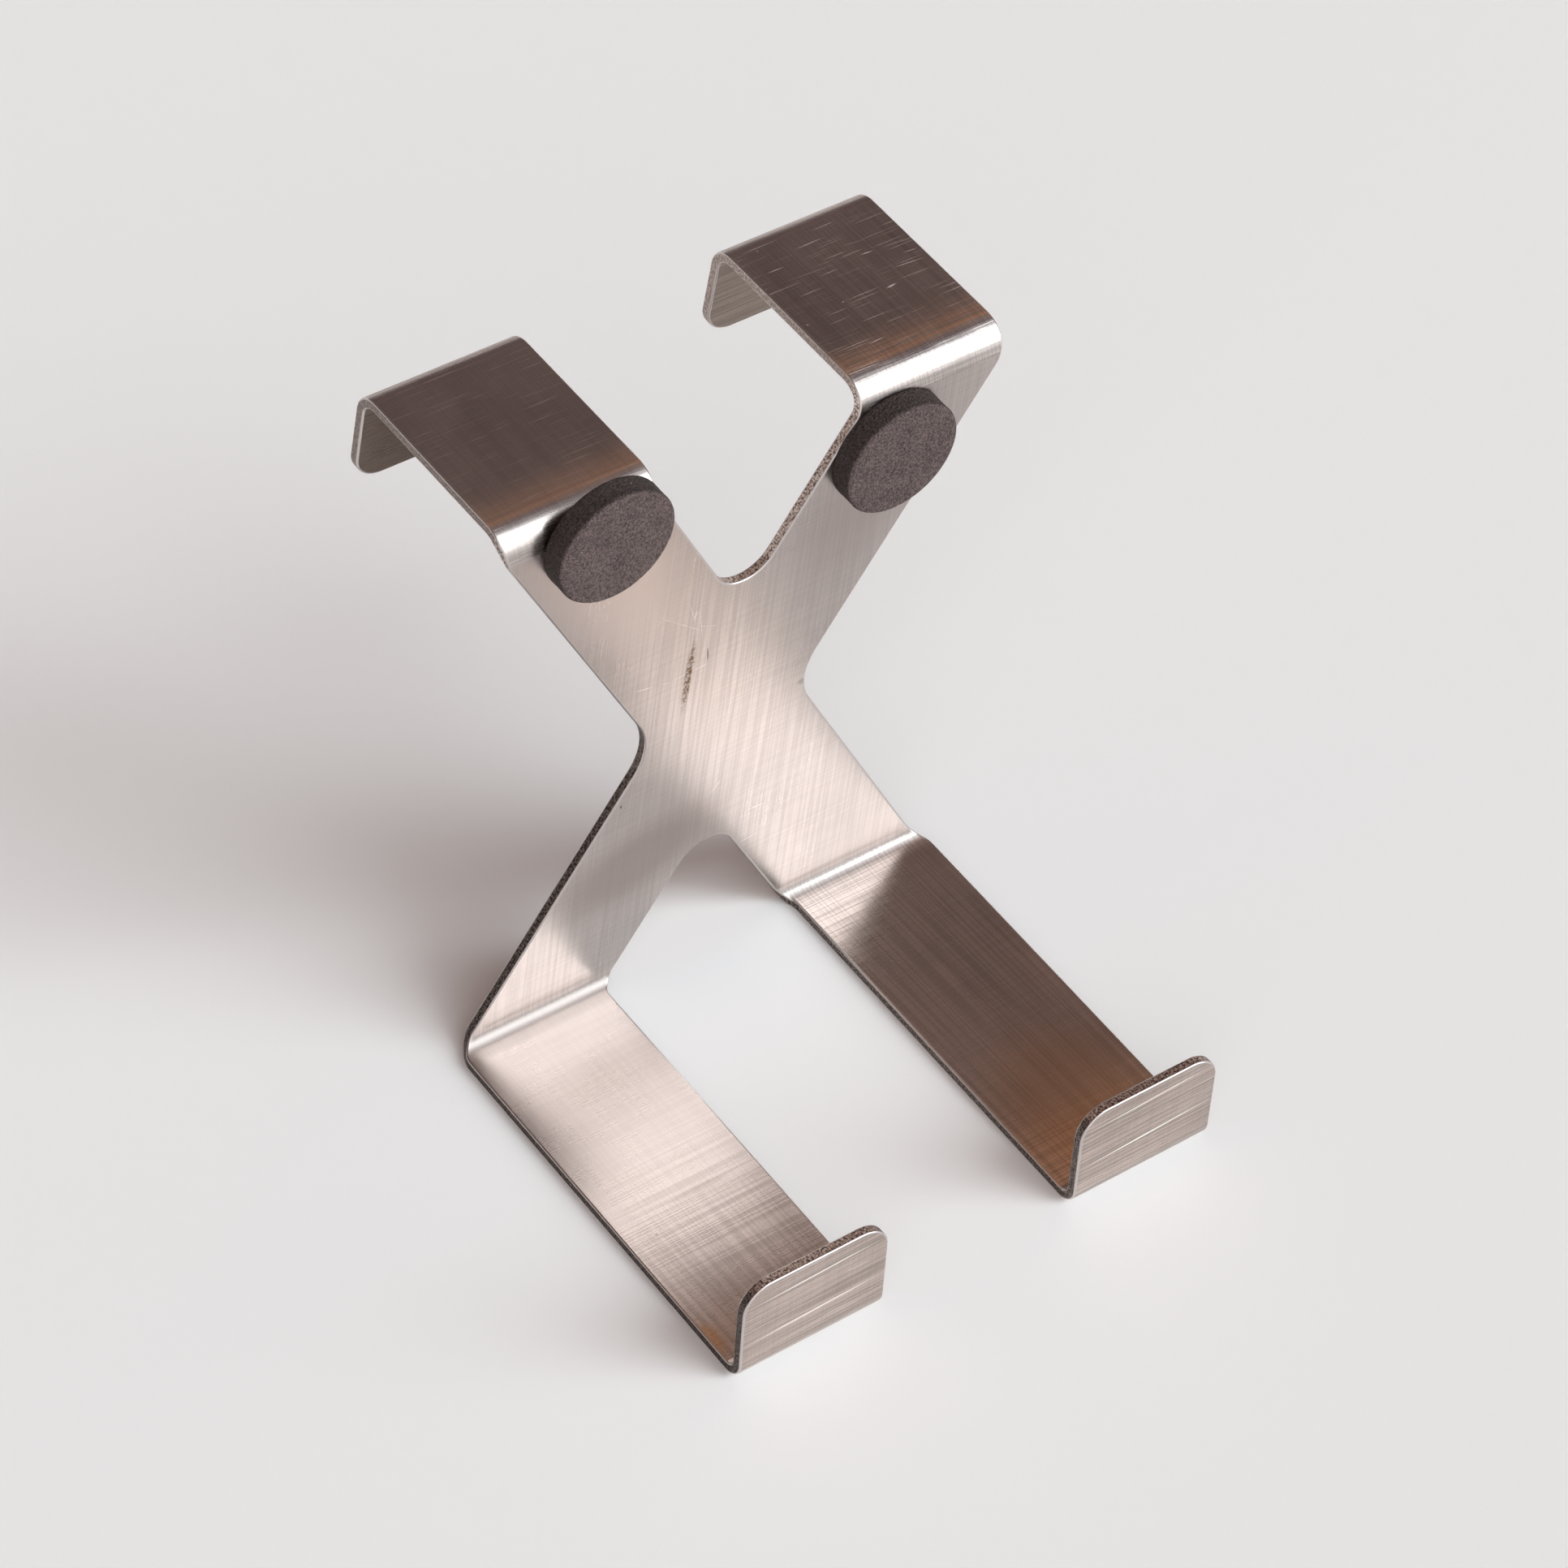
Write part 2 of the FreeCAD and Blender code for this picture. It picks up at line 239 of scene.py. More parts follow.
def rounded(corners):
    """A closed outline through (across, run, radius) corners, each rounded with its radius."""
    outline = []
    count = len(corners)
    for index, (x, s, radius) in enumerate(corners):
        here = Vector((x, s))
        before = (Vector(corners[index - 1][:2]) - here).normalized()
        after = (Vector(corners[(index + 1) % count][:2]) - here).normalized()
        half = before.angle(after) / 2
        start = here + before * (radius / math.tan(half))
        end = here + after * (radius / math.tan(half))
        middle = here + (before + after).normalized() * (radius / math.sin(half))
        first, last = math.atan2(*(start - middle).yx), math.atan2(*(end - middle).yx)
        sweep = (last - first + math.pi) % (2 * math.pi) - math.pi
        steps = max(4, round(abs(sweep) * radius / CORNER_PITCH))
        for step in range(steps + 1):
            angle = first + sweep * step / steps
            outline.append((middle.x + radius * math.cos(angle), middle.y + radius * math.sin(angle)))
    return outline


def with_rows(outline, runs):
    """Adds points where the outline crosses the mesh rows, and along its level parts."""
    full = []
    for (x0, s0), (x1, s1) in zip(outline, outline[1:] + outline[:1]):
        full.append((x0, s0))
        if abs(s1 - s0) > STEEP_RISE:
            low, high = sorted((s0, s1))
            between = [r for r in runs if low + ROW_CLEARANCE < r < high - ROW_CLEARANCE]
            between.sort(reverse=s1 < s0)
            full += [(x0 + (x1 - x0) * (r - s0) / (s1 - s0), r) for r in between]
        elif abs(x1 - x0) > LEVEL_LENGTH:
            count = round(abs(x1 - x0) / FLAT_PITCH)
            full += [(x0 + (x1 - x0) * k / count, s0 + (s1 - s0) * k / count) for k in range(1, count)]
    return np.array(full)


def flat_outline(runs):
    """The stamping's outline before bending."""
    inner, outer, waist = (PITCH - STRIP) / 2, (PITCH + STRIP) / 2, STRIP / 2
    apex = STRIP * ARM_REACH / PITCH
    low, high = CROSS_HEIGHT - ARM_REACH, CROSS_HEIGHT + ARM_REACH
    right = [
        (inner, low, FOOT_INNER_ROUND),
        (inner, LONG_TIP, LIP_ROUND),
        (outer, LONG_TIP, LIP_ROUND),
        (outer, low, FOOT_OUTER_ROUND),
        (waist, CROSS_HEIGHT, WAIST_ROUND),
        (outer, high, HEAD_OUTER_ROUND),
        (outer, SHORT_TIP, LIP_ROUND),
        (inner, SHORT_TIP, LIP_ROUND),
        (inner, high, HEAD_INNER_ROUND),
    ]
    left = [(-x, s, r) for x, s, r in reversed(right)]
    lower = [(0, CROSS_HEIGHT - apex, CROTCH_ROUND)]
    upper = [(0, CROSS_HEIGHT + apex, CROTCH_ROUND)]
    return with_rows(rounded(lower + right + upper + left), runs)


def inside_points(outline, runs):
    """Mesh points within the outline, a little away from it."""
    columns = int((PITCH + STRIP) / 2 / FLAT_PITCH)
    xs = np.arange(-columns, columns + 1) * FLAT_PITCH
    grid = np.array([(x, s) for s in runs for x in xs])
    starts, ends = outline, np.roll(outline, -1, axis=0)
    sides = ends - starts
    rises = np.where(sides[:, 1] == 0, 1, sides[:, 1])
    keep = np.zeros(len(grid), bool)
    batch = 4000
    for first in range(0, len(grid), batch):
        points = grid[first:first + batch, None, :]
        share = np.clip(((points - starts) * sides).sum(2) / (sides * sides).sum(1), 0, 1)
        away = np.sqrt(((starts + sides * share[..., None] - points) ** 2).sum(2)).min(1)
        spans = (starts[:, 1] > points[..., 1]) != (ends[:, 1] > points[..., 1])
        before = points[..., 0] < starts[:, 0] + (points[..., 1] - starts[:, 1]) / rises * sides[:, 0]
        within = (spans & before).sum(1) % 2 == 1
        keep[first:first + batch] = within & (away > OUTLINE_CLEARANCE)
    return grid[keep]


def rim_rows():
    """Profile of the stamped edge from the front face to the back: outward shift, lift, tilt."""
    half, steps = SHEET / 2, 3
    rows = []
    for step in range(steps + 1):
        tilt = math.pi / 2 * step / steps
        rows.append((-FRONT_ROUND * (1 - math.sin(tilt)), half - FRONT_ROUND * (1 - math.cos(tilt)), tilt))
    for share in (0.25, 0.5, 0.75):
        rows.append((0, half - FRONT_ROUND - (SHEET - FRONT_ROUND - BACK_ROUND) * share, math.pi / 2))
    for step in range(steps + 1):
        tilt = math.pi / 2 * (1 + step / steps)
        rows.append((-BACK_ROUND * (1 - math.sin(tilt)), -half + BACK_ROUND * (1 + math.cos(tilt)), tilt))
    return rows


# Millimetres in one unit of the sheet's map
MAP_UNIT = 10.0
# The sheet's other face lies this far aside on the map, so that marks on one face do not show on both
BACK_MAP = 200.0
# The sheared edge's place in the list of materials, after those of the zones
RIM_SLOT = 4
# How far the plate's material reaches into the foot's bends and into the head's bends
FOOT_REACH, HEAD_REACH = 1.0, 0.4
# The meshing keeps only what is within the outline, and joins points closer than this
INSIDE, MERGE = 1, 1e-5


def make_hook():
    """The whole bent sheet as one mesh; faces carry the flat pattern as their map."""
    runs = row_runs()
    outline = flat_outline(runs)
    count = len(outline)
    ahead, behind = np.roll(outline, -1, axis=0), np.roll(outline, 1, axis=0)
    along = ahead - behind
    along /= np.linalg.norm(along, axis=1)[:, None]
    area = (outline[:, 0] * ahead[:, 1] - ahead[:, 0] * outline[:, 1]).sum()
    outward = np.stack([along[:, 1], -along[:, 0]], 1) * (1 if area > 0 else -1)
    length = np.concatenate([[0], np.cumsum(np.linalg.norm(ahead - outline, axis=1))])

    half = SHEET / 2
    rows = rim_rows()
    rims, flats, lifts, tilts = [], [], [], []
    for shift, lift, tilt in rows:
        rims.append(range(len(flats), len(flats) + count))
        flats += [tuple(p) for p in outline + outward * shift]
        lifts += [lift] * count
        tilts += [(math.cos(tilt), math.sin(tilt) * n[0], math.sin(tilt) * n[1]) for n in outward]
    inner = inside_points(outline + outward * rows[0][0], runs)
    ring = [Vector(flats[i]) for i in rims[0]]
    cloud = ring + [Vector(p) for p in inner]
    edges = [(i, (i + 1) % count) for i in range(count)]
    met, _, triangles = delaunay_2d_cdt(cloud, edges, [list(range(count))], INSIDE, MERGE)[:3]
    if len(met) != len(cloud):
        raise RuntimeError("the flat pattern's mesh lost points")
    front = range(len(flats), len(flats) + len(inner))
    flats += [tuple(p) for p in inner]
    lifts += [half] * len(inner)
    tilts += [(1, 0, 0)] * len(inner)
    back = range(len(flats), len(flats) + len(inner))
    flats += [tuple(p) for p in inner]
    lifts += [-half] * len(inner)
    tilts += [(-1, 0, 0)] * len(inner)

    places, ups = bend_up(flats, lifts)
    forward = np.cross(ups, [(1.0, 0.0, 0.0)])
    tilts = np.array(tilts)
    normals = ups * tilts[:, :1] + np.array([[1.0, 0, 0]]) * tilts[:, 1:2] + forward * tilts[:, 2:3]

    front_map = list(rims[0]) + list(front)
    back_map = list(rims[-1]) + list(back)
    faces, kinds, maps = [], [], []
    for first, second, third in triangles:
        (x0, s0), (x1, s1), (x2, s2) = (flats[front_map[i]] for i in (first, second, third))
        turn = (x1 - x0) * (s2 - s0) - (s1 - s0) * (x2 - x0)
        order = (first, second, third) if turn > 0 else (first, third, second)
        faces.append([front_map[i] for i in order])
        faces.append([back_map[i] for i in reversed(order)])
        for face, shift in zip(faces[-2:], (0, BACK_MAP)):
            kinds.append(zone(sum(flats[i][1] for i in face) / 3))
            maps.append([(flats[i][0] + shift, flats[i][1]) for i in face])
    for upper, lower, (_, lift_a, _), (_, lift_b, _) in zip(rims, rims[1:], rows, rows[1:]):
        for i in range(count):
            j = (i + 1) % count
            face = [upper[i], lower[i], lower[j], upper[j]]
            here, beyond = length[i], length[i + 1]
            ends = [(here, lift_a), (here, lift_b), (beyond, lift_b), (beyond, lift_a)]
            if area < 0:
                face, ends = face[::-1], ends[::-1]
            faces.append(face)
            kinds.append(RIM_SLOT)
            maps.append(ends)
    mesh = bpy.data.meshes.new("hook_sheet")
    mesh.from_pydata((places * MM).tolist(), [], faces)
    layer = mesh.uv_layers.new(name="flat")
    for polygon, ends in zip(mesh.polygons, maps):
        for loop, (u, v) in zip(polygon.loop_indices, ends):
            layer.data[loop].uv = (u / MAP_UNIT, v / MAP_UNIT)
    mesh.polygons.foreach_set("material_index", kinds)
    mesh.polygons.foreach_set("use_smooth", [True] * len(faces))
    mesh.normals_split_custom_set_from_vertices(normals.tolist())
    piece = bpy.data.objects.new("hook_sheet", mesh)
    bpy.context.scene.collection.objects.link(piece)
    return piece


def zone(run):
    """0 for the plate, 1 for the trays of the long hooks, 2 for the shelves, 3 for the lips."""
    if PLATE_START - FOOT_REACH < run < PLATE_END + HEAD_REACH:
        return 0
    if TRAY_START < run < SHELF_END:
        return 1 if run < PLATE_START else 2
    return 3


# Node helpers

def add(tree, kind, inputs=None, **settings):
    """Adds a node; an input given as a socket is linked, any other is set."""
    item = tree.nodes.new(kind)
    for name, value in settings.items():
        setattr(item, name, value)
    for key, value in (inputs or {}).items():
        if isinstance(value, bpy.types.NodeSocket):
            tree.links.new(value, item.inputs[key])
        else:
            item.inputs[key].default_value = value
    return item


def calc(tree, operation, first, second=0.0, third=0.0):
    """One Math node."""
    return add(tree, "ShaderNodeMath", {0: first, 1: second, 2: third}, operation=operation).outputs[0]


def scaled(tree, color, factor):
    """A colour times a number."""
    return add(tree, "ShaderNodeVectorMath", {0: color, "Scale": factor}, operation="SCALE").outputs[0]


def blend_color(tree, share, first, second):
    """The first colour at share 0, the second at share 1."""
    item = add(tree, "ShaderNodeMix", data_type="RGBA", blend_type="MIX")
    for index, value in ((0, share), (6, first), (7, second)):
        if isinstance(value, bpy.types.NodeSocket):
            tree.links.new(value, item.inputs[index])
        else:
            item.inputs[index].default_value = value
    return item.outputs[2]


def fade(tree, value, low, high, start=0.0, end=1.0):
    """From start at low to end at high, smooth between and level beyond."""
    item = add(tree, "ShaderNodeMapRange", {0: value, 1: low, 2: high, 3: start, 4: end},
               interpolation_type="SMOOTHSTEP")
    return item.outputs[0]


def new_material(name):
    """A material with its node tree and shader."""
    material = bpy.data.materials.new(name)
    material.use_nodes = True
    tree = material.node_tree
    shader = tree.nodes["Principled BSDF"]
    return material, tree, shader


def grain(tree, flat, across, along, detail=2.0, rough=0.6, turn=0.0, shift=0.0):
    """Noise drawn out along one direction of the flat map; across and along are lines per millimetre."""
    turned = add(tree, "ShaderNodeMapping", {"Vector": flat, "Rotation": (0, 0, math.radians(turn))})
    mapping = add(tree, "ShaderNodeMapping", {"Vector": turned.outputs[0], "Location": (shift, shift, 0),
                  "Scale": (across * MAP_UNIT, along * MAP_UNIT, 1)})
    noise = add(tree, "ShaderNodeTexNoise", {"Vector": mapping.outputs[0], "Scale": 1.0, "Detail": detail,
                "Roughness": rough}, noise_dimensions="2D")
    return noise.outputs[0]


# Marks seen in the photograph

def ray(pixel):
    """Direction from the camera through a pixel of the photograph."""
    right, up, back = camera_axes()
    return (right * (pixel[0] - PHOTO / 2) - up * (pixel[1] - PHOTO / 2) - back * FOCAL_PIXELS).normalized()


def on_plate(pixel):
    """(across, run) of the plate's front face under a pixel."""
    eye, way = camera_place(), ray(pixel)
    hit = eye + way * ((PLATE_FRONT - eye.y) / way.y)
    return hit.x, hit.z


def on_shelf(pixel):
    """(across, run) of a short hook's upper face under a pixel."""
    eye, way = camera_place(), ray(pixel)
    hit = eye + way * ((TALL - eye.z) / way.z)
    return hit.x, SHELF_START + hit.y - PLATE_FRONT - SHEET - HEAD_BEND


def on_tray(pixel):
    """(across, run) of a long hook's upper face under a pixel."""
    eye, way = camera_place(), ray(pixel)
    hit = eye + way * ((SHEET - eye.z) / way.z)
    return hit.x, TRAY_START + hit.y - PLATE_FRONT - LONG_LIP_BEND + DOOR_GAP


def on_long_lip(pixel):
    """(across, run) of a long hook's outer lip face under a pixel."""
    y, z, ny, nz = at_run(LONG_TIP)
    base = Vector((0, y + PLATE_FRONT - ny * SHEET / 2, z - nz * SHEET / 2))
    normal = Vector((0, ny, nz))
    eye, way = camera_place(), ray(pixel)
    hit = eye + way * ((base - eye).dot(normal) / way.dot(normal))
    return hit.x + BACK_MAP, LONG_TIP + (hit - base).dot(Vector((0, nz, -ny)))


# Marks and painted patches: their two ends in pixels of the photograph, half width in millimetres, and
# strength
SHELF_SCRATCHES = [
    ((1060, 314), (1075, 309), 0.070, 1.0), ((1113, 311), (1129, 306), 0.063, 0.8),
    ((1100, 330), (1139, 317), 0.056, 0.9), ((1104, 326), (1136, 313), 0.042, 0.6),
    ((1070, 424), (1090, 415), 0.056, 1.0), ((1020, 389), (1044, 379), 0.049, 0.8),
    ((1093, 355), (1104, 349), 0.112, 1.0), ((945, 337), (966, 329), 0.056, 0.9),
    ((966, 348), (1030, 325), 0.035, 0.5), ((1035, 304), (1068, 294), 0.042, 0.5),
    ((994, 400), (996, 401), 0.084, 1.0), ((1038, 372), (1040, 372), 0.084, 1.0),
    ((932, 309), (934, 310), 0.084, 0.7), ((1110, 343), (1150, 329), 0.035, 0.5),
]
LIP_SCRATCHES = [
    ((929, 1612), (1088, 1526), 0.12, 0.9), ((920, 1659), (1090, 1566), 0.14, 1.0),
    ((1345, 1395), (1495, 1312), 0.12, 0.9), ((1335, 1440), (1493, 1352), 0.14, 1.0),
    ((960, 1580), (1085, 1512), 0.06, 0.5), ((1350, 1370), (1480, 1300), 0.06, 0.5),
]
PLATE_SCRATCHES = [
    ((814, 762), (837, 769), 0.10, 0.8), ((859, 752), (856, 764), 0.10, 0.8),
    ((877, 771), (883, 771), 0.10, 0.7), ((855, 826), (870, 818), 0.12, 0.8),
    ((782, 853), (811, 845), 0.09, 0.6), ((811, 845), (826, 841), 0.09, 0.6),
    ((875, 978), (888, 961), 0.10, 0.7), ((923, 997), (941, 989), 0.10, 0.6),
    ((911, 1038), (935, 1024), 0.09, 0.5), ((837, 769), (862, 776), 0.07, 0.6),
    ((862, 748), (866, 790), 0.06, 0.6), ((860, 772), (884, 770), 0.06, 0.5),
    ((850, 744), (858, 770), 0.06, 0.5), ((832, 838), (852, 826), 0.06, 0.5),
]
PLATE_DARKS = [
    ((872, 797), (872, 815), 0.10, 0.9), ((765, 993), (765, 996), 0.16, 0.8),
    ((984, 840), (992, 838), 0.5, 0.35),
]
# Painted light on the plate's upper left arm, and painted shade on its upper right arm and lower left band
PLATE_PAINTED_LIGHT = [((655, 625), (800, 770), 9.0, 0.95)]
PLATE_PAINTED_SHADE = [((1015, 690), (1130, 500), 8.0, 0.55), ((705, 1115), (860, 1010), 6.0, 0.85)]
PLATE_SMEAR = [((856, 790), (841, 874), 0.60, 1.0)]
# A painted brown reflection at the right tray's end, and a small brown spot near the left tray's end
TRAY_BROWN_REFLECTION_AND_SPOT = [((1290, 1300), (1360, 1410), 10.0, 0.45), ((860, 1638), (884, 1664), 1.8, 0.7)]
TRAY_DARKS = [((822, 1484), (905, 1442), 0.50, 0.22), ((808, 1520), (810, 1522), 0.12, 0.7)]


def mark_mask(tree, flat, marks, where):
    """Largest of long thin ellipses, one for each mark: two ends, a half width and a strength."""
    total = None
    for start, end, half_width, strength in marks:
        first, last = Vector(where(start)) / MAP_UNIT, Vector(where(end)) / MAP_UNIT
        along, wide = last - first, half_width / MAP_UNIT
        middle, reach = (first + last) / 2, along.length / 2 * 1.25 + wide / 2
        mapping = add(tree, "ShaderNodeMapping", {"Vector": flat, "Location": (middle.x, middle.y, 0),
                      "Rotation": (0, 0, math.atan2(along.y, along.x)), "Scale": (reach, wide, 1)},
                      vector_type="TEXTURE")
        away = add(tree, "ShaderNodeVectorMath", {0: mapping.outputs[0]}, operation="LENGTH")
        share = fade(tree, away.outputs["Value"], 1.0, 0.3, 0.0, strength)
        total = share if total is None else calc(tree, "MAXIMUM", total, share)
    return total


# Steel and foam

# Steel of the plate and shelves, of the trays and of the lips, and its bright lines; the trays' steel is a
# paler copy, painted light
STEEL = (0.495, 0.442, 0.420)
BRIGHTENED_TRAY_STEEL = (0.525, 0.471, 0.448)
WARM_STEEL = (0.50, 0.420, 0.382)
STREAK = (0.85, 0.80, 0.77, 1)
# What lies on the steel or is scratched into it, and some painted light, painted shade and painted
# reflection
SCRATCH = (0.95, 0.90, 0.86, 1)
# Painted light and painted shade on the plate: paler and darker reflections put into its colour
PAINTED_LIGHT_STEEL = (0.64, 0.565, 0.540, 1)
PAINTED_SHADE_STEEL = (0.36, 0.30, 0.28, 1)
NICK = (0.10, 0.075, 0.06, 1)
SMEAR = (0.20, 0.12, 0.065, 1)
# Brown of the painted reflection on the right tray, and of a small spot on the left one
BROWN = (0.60, 0.37, 0.19, 1)
DARK_LINE = (0.14, 0.11, 0.09, 1)
# Painted shade on the short lips' inner faces, which face the plate under the shelves
SHADED_INNER_LIP_TONE = (0.155, 0.117, 0.090, 1)
# The sheared edge: between the faces, at its brightest there, and along the faces
RIM = (0.42, 0.345, 0.31)
RIM_BRIGHTEST = (0.90, 0.84, 0.80)
RIM_BORDER = (0.62, 0.57, 0.55, 1)
# Foam: its cut edge, its flat face and the pale flecks
FOAM_EDGE = (0.046, 0.034, 0.032, 1)
FOAM_FACE = (0.094, 0.067, 0.063, 1)
FLECK = (0.42, 0.38, 0.37, 1)


def map_place(tree, flat):
    """The place on the sheet's map, across and along the run, in millimetres."""
    split = add(tree, "ShaderNodeSeparateXYZ", {0: flat})
    return [calc(tree, "MULTIPLY", split.outputs[index], MAP_UNIT) for index in (0, 1)]


def tray_strength(tree, across, run):
    """The trays' grain: faint near the bend on the left one, stronger on the right one and near the lips."""
    near_lip = fade(tree, run, TRAY_START + 24, TRAY_START + 4, 0.16, 1.0)
    return calc(tree, "MAXIMUM", near_lip, fade(tree, across, -5.0, 5.0, 0.0, 0.9))


def shelf_strength(tree, across, run):
    """The shelves' grain: fainter on the left one."""
    return fade(tree, across, -8.0, 8.0, 0.4, 1.0)


def steel(name, shade, turn, anisotropy, roughness, cross, contrast, streaks=0.0, relief=0.00008,
          strength=None, scratches=None, where=None, extra=None):
    """Brushed steel.

    turn: 0 for lines along the run, 90 for lines across. cross: how strong the crossing lines are.
    contrast: how far the lines change the tone. streaks: how pale the sparse bright lines are.
    relief: depth of the lines in metres. strength: how the lines' strength changes over the sheet.
    """
    material, tree, shader = new_material(name)
    flat = add(tree, "ShaderNodeUVMap", uv_map="flat").outputs[0]
    across, run = map_place(tree, flat)
    share = strength(tree, across, run) if strength else 1.0

    # Lines of three widths, lines that cross them, and a slow change of tone
    fine = grain(tree, flat, 6.5, 0.04, 0.0, 0.5, turn)
    middling = grain(tree, flat, 3.8, 0.05, 0.0, 0.5, turn + 1.0, 6.3)
    wide = grain(tree, flat, 1.6, 0.015, 0.0, 0.5, turn - 0.6, 3.7)
    lines = calc(tree, "ADD", calc(tree, "MULTIPLY", fine, 0.56), calc(tree, "MULTIPLY", middling, 0.40))
    lines = calc(tree, "ADD", lines, calc(tree, "MULTIPLY", wide, 0.04))
    swing = calc(tree, "MULTIPLY", fade(tree, lines, 0.36, 0.64, -1.0, 1.0), share)
    crossing = grain(tree, flat, 4.8, 0.05, 0.0, 0.5, 88.5 - turn, 9.1)
    crossed = calc(tree, "MULTIPLY", fade(tree, crossing, 0.34, 0.66, -cross, cross), share)
    cloud = grain(tree, flat, 0.12, 0.09, 3.0, 0.5, 20, 5.3)
    # Distance from the middle of the foot bend, which gets a painted highlight on both sides and painted
    # shade in its middle
    crease = calc(tree, "ABSOLUTE", calc(tree, "SUBTRACT", run, (TRAY_END + PLATE_START) / 2))

    tone = calc(tree, "MULTIPLY_ADD", swing, contrast, 1.0)
    tone = calc(tree, "MULTIPLY", tone, calc(tree, "MULTIPLY_ADD", crossed, contrast, 1.0))
    tone = calc(tree, "MULTIPLY", tone, fade(tree, cloud, 0.3, 0.7, 0.96, 1.03))
    # Painted highlight beside the foot bend's crease, and painted shade in its middle
    tone = calc(tree, "MULTIPLY", tone, fade(tree, crease, 2.2, 1.2, 1.0, 1.20))
    tone = calc(tree, "MULTIPLY", tone, fade(tree, crease, 1.0, 0.2, 1.0, 0.62))
    color = scaled(tree, shade, tone)
    rough = calc(tree, "MULTIPLY_ADD", swing, -contrast * 0.3, roughness)
    rough = calc(tree, "ADD", rough, fade(tree, cloud, 0.3, 0.7, -0.015, 0.02))
    rough = calc(tree, "ADD", rough, fade(tree, crease, 2.6, 0.8, 0.0, 0.20))
    height = calc(tree, "MULTIPLY", lines, share)

    if streaks:
        streak = grain(tree, flat, 7.0, 0.16, 1.0, 0.6, turn + 0.5, 12.7)
        streak = calc(tree, "MULTIPLY", fade(tree, streak, 0.66, 0.80, 0.0, streaks), share)
        color = blend_color(tree, streak, color, STREAK)
        rough = calc(tree, "MULTIPLY_ADD", streak, 0.22, rough)
    if scratches:
        mask = mark_mask(tree, flat, scratches, where)
        color = blend_color(tree, mask, color, SCRATCH)
        rough = calc(tree, "ADD", rough, calc(tree, "MULTIPLY", mask, 0.25))
        height = calc(tree, "SUBTRACT", height, calc(tree, "MULTIPLY", mask, 0.6))
    if extra:
        color, rough = extra(tree, flat, color, rough)

    # The sheet is slightly uneven, and the lines are cut into it
    wave = grain(tree, flat, 0.10, 0.07, 1.0, 0.4, 30, 1.9)
    bump = add(tree, "ShaderNodeBump", {"Strength": 0.5, "Distance": 0.00006, "Height": wave})
    if relief:
        bump = add(tree, "ShaderNodeBump", {"Strength": 0.35, "Distance": relief * contrast,
                   "Height": height, "Normal": bump.outputs[0]})
    tree.links.new(color, shader.inputs["Base Color"])
    tree.links.new(rough, shader.inputs["Roughness"])
    tree.links.new(bump.outputs[0], shader.inputs["Normal"])
    shader.inputs["Metallic"].default_value = 1.0
    shader.inputs["Anisotropic"].default_value = anisotropy
    shader.inputs["Anisotropic Rotation"].default_value = turn / 360
    tangent = add(tree, "ShaderNodeTangent", direction_type="UV_MAP", uv_map="flat")
    tree.links.new(tangent.outputs[0], shader.inputs["Tangent"])
    return material


def plate_marks_and_painted_shading(tree, flat, color, rough):
    """Painted light and painted shade on parts of the plate, its dark nicks and its speckled brown smear."""
    color = blend_color(tree, mark_mask(tree, flat, PLATE_PAINTED_LIGHT, on_plate), color, PAINTED_LIGHT_STEEL)
    color = blend_color(tree, mark_mask(tree, flat, PLATE_PAINTED_SHADE, on_plate), color, PAINTED_SHADE_STEEL)
    darks = mark_mask(tree, flat, PLATE_DARKS, on_plate)
    color = blend_color(tree, darks, color, NICK)
    smear = mark_mask(tree, flat, PLATE_SMEAR, on_plate)
    speck = grain(tree, flat, 3.2, 2.6, 3.0, 0.7, 0, 2.2)
    spots = calc(tree, "MULTIPLY", smear, fade(tree, speck, 0.44, 0.56))
    color = blend_color(tree, spots, color, SMEAR)
    return color, calc(tree, "ADD", rough, calc(tree, "MULTIPLY", smear, 0.08))


def tray_marks_and_painted_reflection(tree, flat, color, rough):
    """A painted brown reflection at the right tray's end, a small brown spot on the left tray, and a faint
    dark line and a nick on the left one.
    """
    color = blend_color(tree, mark_mask(tree, flat, TRAY_BROWN_REFLECTION_AND_SPOT, on_tray), color, BROWN)
    darks = mark_mask(tree, flat, TRAY_DARKS, on_tray)
    return blend_color(tree, darks, color, DARK_LINE), rough


def shade_lip_insides(tree, flat, color, rough):
    """The short lips' inner faces, darker and browner than the rest: painted shade."""
    across, run = map_place(tree, flat)
    on_back = calc(tree, "GREATER_THAN", across, BACK_MAP / 2)
    inner = calc(tree, "MULTIPLY", on_back, fade(tree, run, SHELF_START, SHELF_END, 0.0, 0.7))
    return blend_color(tree, inner, color, SHADED_INNER_LIP_TONE), rough


